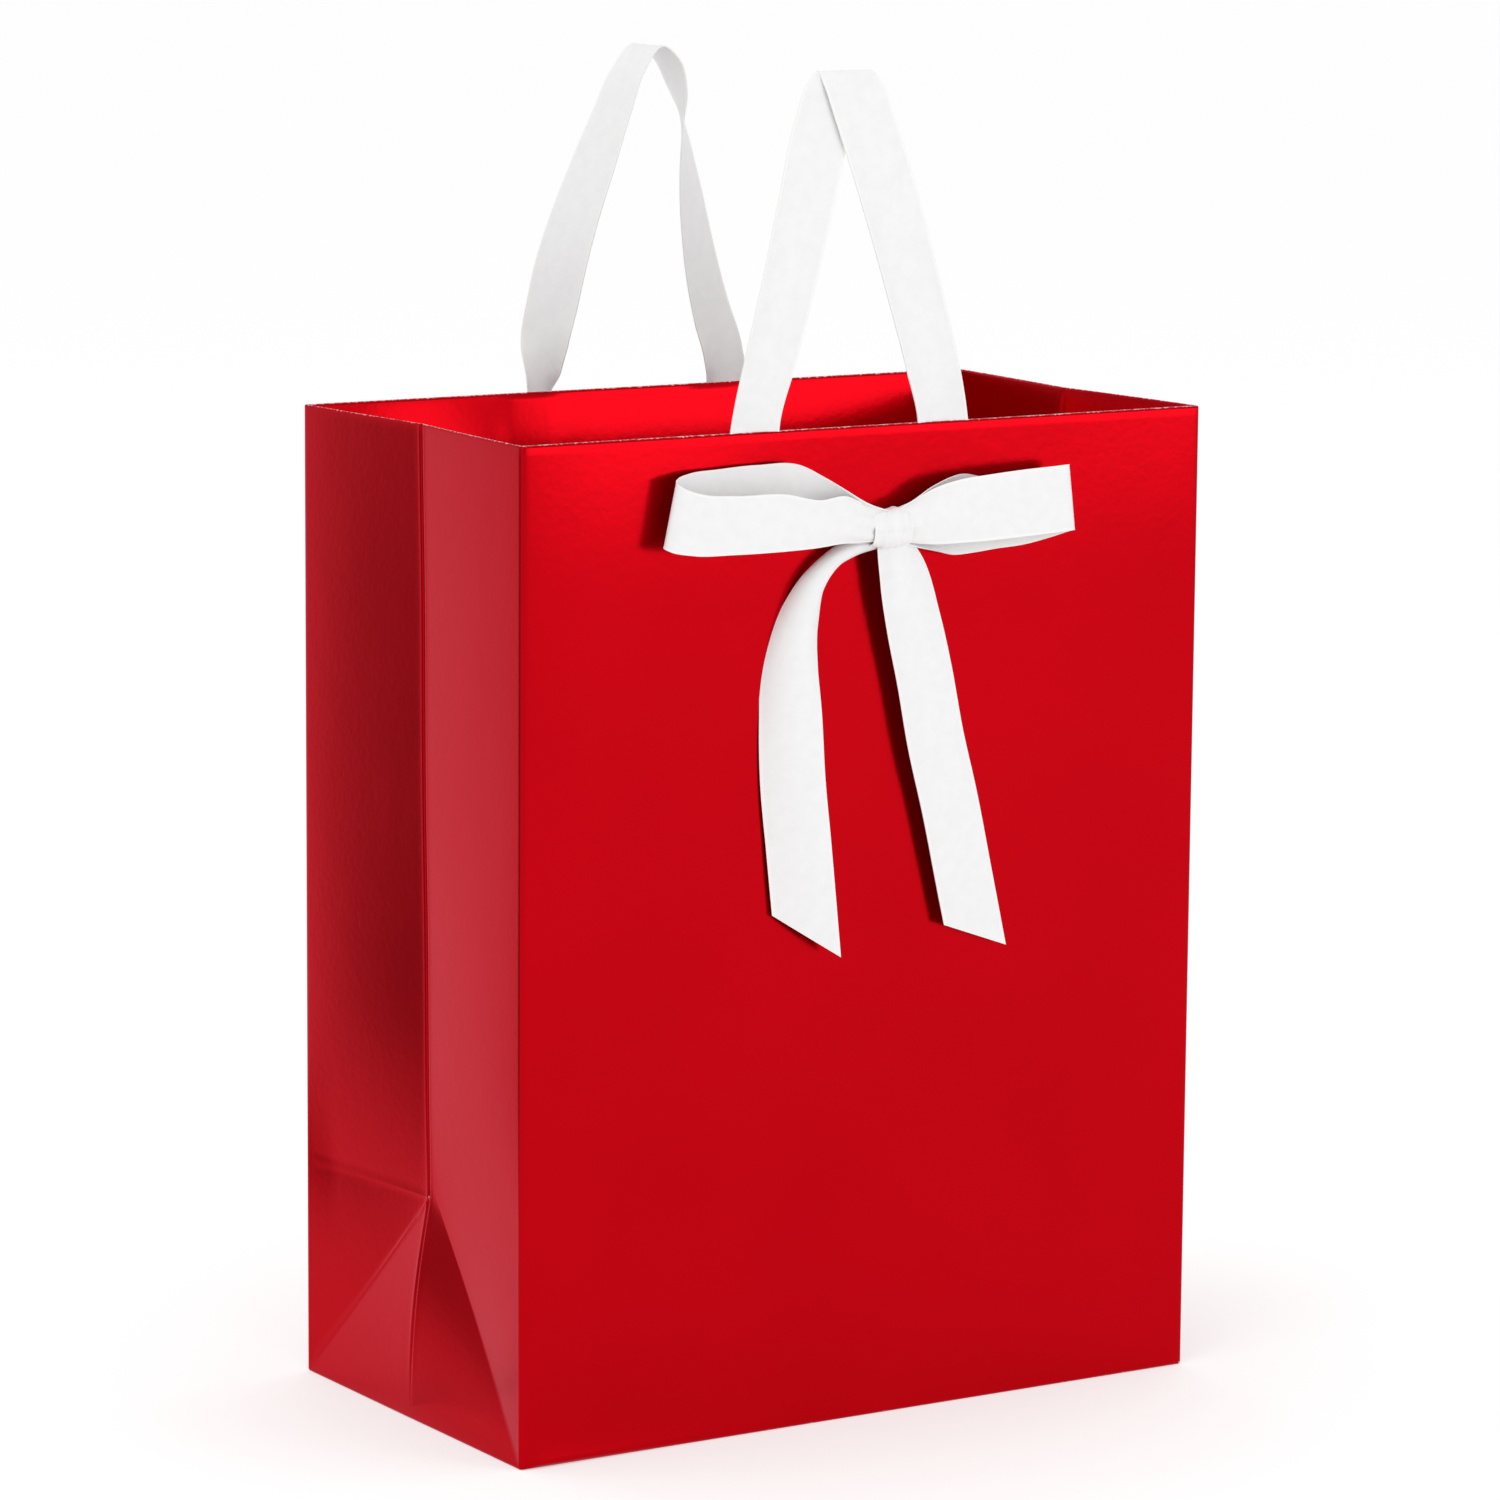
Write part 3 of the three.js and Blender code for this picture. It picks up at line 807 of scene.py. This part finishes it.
def build_front_handle():
    """Two straight legs, and a soft fold where the right one crosses in front."""
    y = -(HALF_DEPTH - TAB_DEPTH)
    flat = (1, 0, 0)
    stations = [
        ((HANDLE_LEFT, y, 302), flat, 11, 0), ((HANDLE_LEFT, y, 316), flat, 10.6, 0.0),
        ((HANDLE_LEFT, y, 330), flat, 9.2, 0.12), ((-39.8, y - 0.3, 352), flat, 10.1, 0.25),
        ((-33.2, y - 0.4, 377), flat, 10.6, 0.3), ((-26.0, y, 404), flat, 10.9, 0.2),
        ((-18.8, y + 0.2, 430), flat, 11.2, 0.05), ((-13.8, y + 0.3, 441), flat, 11.2, 0.0),
        ((-11.5, y - 0.1, 444.4), flat, 10.4, 0.0),
        ((-9.0, y - 0.5, 441), flat, 11.2, 0.0), ((-4.6, y - 0.7, 430), flat, 11.4, -0.05),
        ((4.6, y - 1.0, 404), flat, 11.5, -0.2), ((15.0, y - 0.8, 372), flat, 11.1, -0.3),
        ((22.4, y - 0.3, 348), flat, 10.7, -0.35), ((27.6, y, 330), flat, 9.8, -0.12),
        ((HANDLE_RIGHT, y, 316), flat, 10.8, 0.0),
        ((HANDLE_RIGHT, y, 302), flat, 11, 0),
    ]
    piece, length = ribbon("front_handle_ribbon", stations, 61, level_cuts=True)
    hang_handle("front", piece)


def build_back_handle():
    """An arch that turns half a turn on its way over. The path gives x, z, the angle of
    the width seen from above, the half width and the curl."""
    y = HALF_DEPTH - TAB_DEPTH
    path = [
        (HANDLE_LEFT, 302, 0, 11, 0), (-43.2, 318, 0, 8.0, 0),
        (-41.4, 328, 0, 4.3, 0), (-41.0, 332, -8, 4.8, 0.2),
        (-39.6, 338, -34, 7.0, 0.7), (-37.8, 347, -58, 9.6, 0.5), (-35.2, 359, -65, 10.6, 0.3),
        (-32.4, 371, -68, 11, 0.2), (-26.9, 388, -72, 11, 0.15), (-19.7, 406, -77, 11, 0.12),
        (-12.2, 424, -83, 10.6, 0.1), (-6.0, 438, -88, 10.4, 0.05), (1.6, 446.2, -92, 10.4, 0.02),
        (8.8, 441, -96, 10.8, 0.05), (12.6, 431, -104, 11, 0.1), (14.6, 421, -119, 11, 0.1),
        (17.2, 400, -138, 11, 0.15), (21.0, 376, -150, 11, 0.2), (26.2, 354, -158, 10.8, 0.3),
        (30.8, 340, -167, 9.8, 0.4), (33.0, 333, -176, 8.4, 0.2), (33.4, 328, -180, 7.8, 0),
        (30.6, 318, -180, 9.0, 0), (HANDLE_RIGHT, 302, -180, 11, 0),
    ]
    stations = []
    for x, z, degrees, half, curl in path:
        turn = math.radians(degrees)
        stations.append(((x, y, z), (math.cos(turn), math.sin(turn), 0), half, curl))
    piece, length = ribbon("back_handle_ribbon", stations, 67)
    hang_handle("back", piece)


def build_left_loop():
    up = (0, 0, 1)
    stations = [
        ((1.5, -78.6, 298.0), up, 6.0, 1.2), ((-6.5, -78.0, 299.4), (0.1, 0, 1), 7.4, 1.2),
        ((-15.5, -77.0, 301.6), (0.2, 0, 1), 9.4, 0.9),
        ((-23, -76.2, 304.6), (0.15, 0, 1), 10.4, 0.5),
        ((-31, -75.7, 308.2), (0.05, 0, 1), 11, 0.25), ((-46, -75.4, 309.0), up, 11, 0.15),
        ((-62, -75.8, 308.4), (0.05, 0, 1), 11, 0.1),
        ((-74, -77.2, 307.8), (0.14, 0, 1), 11, 0.0),
        ((-80.0, -78.8, 306.9), (0.22, 0, 1), 10.8, 0.0),
        ((-81.6, -80.6, 306.2), (0.22, 0, 1), 10.6, 0.0),
        ((-80.2, -82.3, 305.0), (0.22, 0, 1), 10.4, 0.0),
        ((-74, -83.9, 303.2), (0.12, 0, 1), 9.9, 0.05),
        ((-60, -84.8, 302.2), (0.03, 0, 1), 9.4, 0.1), ((-41, -84.8, 301.9), up, 9.2, 0.15),
        ((-27, -84.4, 300.6), (0.05, 0, 1), 7.8, 0.4), ((-16.5, -84.0, 301.2), up, 7.9, 0.5),
        ((-8.5, -83.2, 299.4), up, 7.2, 0.8), ((1, -82.0, 298.0), up, 6.0, 1.0),
    ]
    tie_loop("left", *ribbon(
        "bow_left_loop_ribbon", stations, 71, level_cuts=True, gathers=(0.3, 0.8),
    ))


def build_right_loop():
    down = (0, 0, -1)
    stations = [
        ((1.5, -78.6, 298.0), down, 6.0, 1.2), ((10, -77.4, 298.4), down, 8.2, 0.8),
        ((21, -76.2, 299.2), (0.05, 0, -1), 11.2, 0.4),
        ((30, -75.6, 299.8), (-0.08, 0, -1), 13.4, 0.3),
        ((38, -75.5, 299.2), (-0.1, 0, -1), 12.6, 0.15), ((46, -75.5, 298.6), down, 11.2, 0.1),
        ((57, -76.2, 299.2), (0.04, 0, -1), 11, 0.0),
        ((67, -77.8, 301.4), (0.1, 0, -1), 11, 0.0),
        ((72.0, -79.4, 302.9), (0.125, 0, -1), 11, 0.0),
        ((73.2, -80.6, 303.3), (0.125, 0, -1), 11, 0.0),
        ((72.4, -81.8, 303.5), (0.125, 0, -1), 11, 0.0),
        ((67, -82.8, 303.4), (0.1, 0, -1), 11, 0.0),
        ((52, -83.8, 302.9), (0.04, 0, -1), 11, 0.05), ((38, -84.0, 302.2), down, 10.8, 0.1),
        ((27, -84.0, 301.6), down, 10.4, 0.2), ((18, -83.8, 300.4), down, 9.4, 0.45),
        ((10, -83.2, 298.8), down, 7.6, 0.8), ((1.5, -82.0, 297.8), down, 6.0, 1.0),
    ]
    tie_loop("right", *ribbon(
        "bow_right_loop_ribbon", stations, 73, level_cuts=True, gathers=(0.3, 0.8),
    ))


def build_left_tail():
    stations = [
        ((0, -79.0, 293.6), (0, 0.1, -1), 3.4, 1.0),
        ((-10, -78.8, 292.0), (0, -0.2, -1), 3.6, 1.2),
        ((-18.5, -78.6, 289.2), (0.2, -0.6, -0.8), 3.8, 1.3),
        ((-26.5, -78.6, 281.8), (0.7, -0.6, -0.35), 5.0, 1.2),
        ((-31.6, -78.8, 269.5), (0.88, -0.45, -0.1), 8.0, 1.1),
        ((-34.2, -78.8, 254.5), (0.93, -0.37, 0), 10.0, 0.8),
        ((-34.0, -78.8, 236.2), (0.94, -0.34, 0), 10.8, 0.5),
        ((-33.0, -78.5, 217.2), (0.95, -0.32, 0), 11, 0.35),
        ((-30.4, -78.2, 194.8), (0.95, -0.3, 0), 11, 0.25),
        ((-26.8, -77.6, 165.1), (0.96, -0.27, 0), 11, 0.15),
    ]
    hang_tail("left", *ribbon(
        "bow_left_tail_ribbon", stations, 79, slant=8.8, gathers=(0.15, 0),
    ))


def build_right_tail():
    flat = (1, 0, 0)
    stations = [
        ((4.0, -80.4, 298), flat, 6.2, 0.6), ((5.0, -80.8, 290), flat, 7.4, 0.5),
        ((8.2, -80.6, 281), flat, 9.4, 0.4), ((12.6, -80.0, 266), flat, 10.6, 0.35),
        ((17.4, -79.3, 248), flat, 10.9, 0.25), ((22.4, -78.8, 226), flat, 11, 0.2),
        ((28.0, -78.3, 206), flat, 11, 0.15), ((34.0, -77.8, 182), flat, 11, 0.12),
        ((39.7, -77.2, 159.3), flat, 11, 0.1),
    ]
    hang_tail("right", *ribbon(
        "bow_right_tail_ribbon", stations, 83, slant=7.4, gathers=(0.2, 0),
    ))


def build_knot():
    """The band that binds the bow: ribbon drawn into upright pleats."""
    cx, cy, cz = KNOT
    around, wide = 72, 40
    rows = []
    for i in range(wide + 1):
        u = -1 + 2 * i / wide
        x = cx + 7.3 * u
        waist = 1 - 0.16 * abs(u) ** 3
        row = []
        for k in range(around):
            angle = 2 * math.pi * k / around
            c, s = math.cos(angle), math.sin(angle)
            ry = 4.6 * math.copysign(abs(c) ** 0.8, c)
            rz = 6.4 * math.copysign(abs(s) ** 0.8, s)
            pleat = 0.34 * math.sin(u * 9.5 + 0.7 * math.sin(angle * 2 + 1.0))
            pleat += 0.22 * math.sin(u * 17 + 2.1 + 1.1 * c)
            pleat += 0.25 * ripple(u * 6, angle * 2, 89, 2.2)
            grow = waist + pleat * 0.09
            crown = 0.35 * math.sin(u * 4.2) * max(s, 0)
            row.append((x, cy - ry * grow, cz + rz * grow + crown))
        rows.append(row)
    grid = np.array(rows)
    normals = grid_normals(grid, True)
    centre = np.array([cx, cy, cz])
    outward = np.sum(normals * (grid - centre), axis=-1).mean() > 0
    if not outward:
        grid = grid[:, ::-1]
        normals = grid_normals(grid, True)
    inner = grid - normals * 0.5
    piece = solid("bow_knot_band", grid, inner, [satin], closed=True, sharp=60, sides=(0, 0, 0))
    place = np.zeros((wide + 1, around, 3))
    place[..., 0] = np.linspace(-HALF_RIBBON, HALF_RIBBON, wide + 1)[:, None]
    place[..., 1] = np.linspace(0, 36, around)[None, :]
    cloth_place(piece, place)
    place_piece(piece, "satin_ribbon", "bag", "bow_knot")


def build_glue():
    """A dab of hot glue between the knot and the panel, squeezed out of round."""
    cx, cy, cz = KNOT[0], -HALF_DEPTH - 0.1, KNOT[2]
    rings, around = 9, 36
    points = []
    for r in range(rings + 1):
        turn = math.pi * r / rings
        for k in range(around):
            angle = 2 * math.pi * k / around
            reach = 4.6 + 0.5 * ripple(math.cos(angle) * 3, math.sin(angle) * 3, 97, 2.5)
            flat = max(math.sin(turn), 0.02) ** 0.6 * reach
            x, z = cx + flat * math.cos(angle), cz + flat * math.sin(angle)
            points.append((x, cy - 1.25 + 1.25 * math.cos(turn), z))
    piece = mesh_object("glue_blob", points, ring_faces(rings + 1, around), [glue], sharp=80)
    place_piece(piece, "glue", "bag", "bow_glue_dot")


build_paper()
build_bottom()
build_seam()
build_cards()
build_base_board()
build_glue()
build_knot()
build_front_handle()
build_back_handle()
build_left_loop()
build_right_loop()
build_left_tail()
build_right_tail()


# ---- Studio ----


def camera_matrix(azimuth, elevation, roll, aim, distance):
    """A camera that looks at aim. Azimuth 0 looks along +Y, and the angles are degrees."""
    a, e, r = (math.radians(v) for v in (azimuth, elevation, roll))
    back = Vector((math.sin(a) * math.cos(e), -math.cos(a) * math.cos(e), math.sin(e)))
    right = Vector((0, 0, 1)).cross(back).normalized()
    up = back.cross(right)
    right, up = (
        math.cos(r) * right + math.sin(r) * up,
        math.cos(r) * up - math.sin(r) * right,
    )
    turn = Matrix((right, up, back)).transposed().to_4x4()
    return Matrix.Translation(Vector(aim) + distance * back) @ turn


def add_camera():
    data = bpy.data.cameras.new("camera")
    data.lens = 146.3
    data.sensor_width = 36
    data.clip_end = 200
    camera = bpy.data.objects.new("camera", data)
    camera.matrix_world = camera_matrix(-32.23, 9.157, 0.441, (0.0038, 0.0066, 0.2123), 2.057)
    bpy.context.collection.objects.link(camera)
    bpy.context.scene.camera = camera


def level_square(name, half, material):
    """A level square round the origin, as part of the studio."""
    corners = [(-half, -half, 0), (half, -half, 0), (half, half, 0), (-half, half, 0)]
    mesh = bpy.data.meshes.new(name)
    mesh.from_pydata(corners, [], [(0, 1, 2, 3)])
    mesh.materials.append(material)
    square = bpy.data.objects.new(name, mesh)
    bpy.context.collection.objects.link(square)
    return square


def area_light(name, place, target, size, power):
    data = bpy.data.lights.new(name, "AREA")
    data.shape = "RECTANGLE"
    data.size, data.size_y = size
    data.energy = power
    light = bpy.data.objects.new(name, data)
    light.location = place
    light.rotation_euler = (Vector(target) - Vector(place)).to_track_quat("-Z", "Y").to_euler()
    bpy.context.collection.objects.link(light)


def add_shade_card():
    """A grey wedge on the floor, behind the bag's left side. Only reflections show it."""
    m = Nodes("shade card")
    where = m.add("TexCoord").outputs["Object"]
    place = m.add("SeparateXYZ")
    m.join(where, place.inputs[0])
    turn = m.math("ARCTAN2", place.outputs[1], m.math("MULTIPLY", place.outputs[0], -1.0))
    side = m.math("ABSOLUTE", m.math("SUBTRACT", turn, math.radians(36)))
    reach = m.add("VectorMath", operation="LENGTH")
    m.join(where, reach.inputs[0])
    near = m.spread(reach.outputs["Value"], 0.12, 0.6, 0.25, 1.0)
    cover = m.math("MULTIPLY", m.spread(side, math.radians(24), math.radians(14)), near)
    clear = m.tree.nodes.new("ShaderNodeBsdfTransparent")
    mix = m.tree.nodes.new("ShaderNodeMixShader")
    output = next(n for n in m.tree.nodes if n.type == "OUTPUT_MATERIAL")
    m.join(cover, mix.inputs[0])
    m.join(clear.outputs[0], mix.inputs[1])
    m.join(m.shader.outputs[0], mix.inputs[2])
    m.join(mix.outputs[0], output.inputs["Surface"])
    m.set(
        Base_Color=(0.01, 0.01, 0.01), Roughness=1.0, Specular_IOR_Level=0.0,
        Emission_Color=(1.0, 1.0, 1.0), Emission_Strength=0.36,
    )
    card = level_square("shade_card", 4.0, m.material)
    card.location = (-HALF_WIDTH * MM, 0.0, 0.004)
    card.visible_camera = card.visible_diffuse = False
    card.visible_shadow = card.visible_transmission = False


def add_world():
    world = bpy.data.worlds.new("studio")
    world.use_nodes = True
    ground = world.node_tree.nodes["Background"]
    ground.inputs["Color"].default_value = (1, 1, 1, 1)
    ground.inputs["Strength"].default_value = 0.85
    bpy.context.scene.world = world


add_camera()
level_square("floor", 40.0, floor_material())
add_world()
area_light("overhead", (-0.3, 0.1, 2.4), (0, 0, 0.1), (1.6, 1.6), 8)
area_light("left", (-1.5, -1.0, 1.0), (0, 0, 0.35), (0.8, 0.8), 3.5)
area_light("front_right", (0.95, -1.5, 0.56), (0, 0, 0.25), (0.8, 0.8), 3.5)
add_shade_card()

bpy.context.scene.view_settings.view_transform = "Standard"
